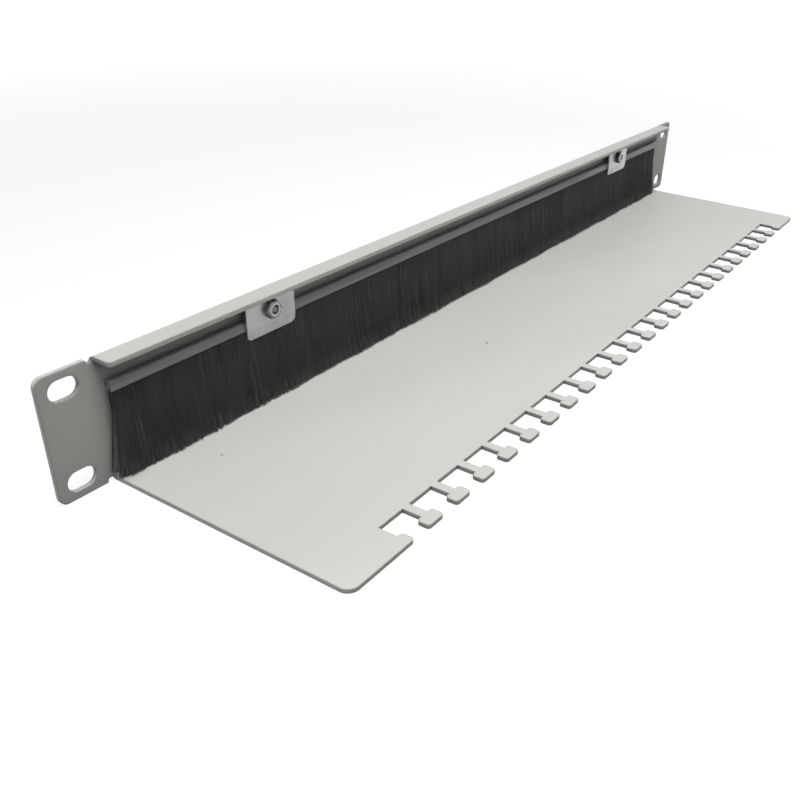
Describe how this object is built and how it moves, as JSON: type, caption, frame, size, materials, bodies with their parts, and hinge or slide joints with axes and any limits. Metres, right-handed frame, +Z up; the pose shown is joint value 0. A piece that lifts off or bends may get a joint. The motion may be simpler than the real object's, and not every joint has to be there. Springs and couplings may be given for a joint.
{
  "type": "rack brush strip panel",
  "caption": "Folded rack panel with slotted ears, a long cable window closed by a hanging brush, and a rear cable tray with T-shaped lacing notches.",
  "frame": {"origin": "centre of the four rack slots, on the rear face of the front plate, which is the face that meets the rack's rails", "axes": "+X along the panel, +Y into the rack, +Z up"},
  "size_m": [0.4826, 0.1, 0.0444],
  "materials": {
    "coated_steel": "light grey textured powder coat",
    "zinc_steel": "zinc plated, satin",
    "holder_steel": "dull galvanised strip",
    "filament": "black polymer filaments, matt"
  },
  "bodies": {
    "root": {"panel": "coated_steel", "brush_channel": "holder_steel", "core_wire": "zinc_steel", "bristles": "filament", "clamp_plate_left": "zinc_steel", "clamp_plate_right": "zinc_steel", "weld_stud_left": "zinc_steel", "weld_stud_right": "zinc_steel", "nut_left": "zinc_steel", "nut_right": "zinc_steel"}
  },
  "joints": []
}
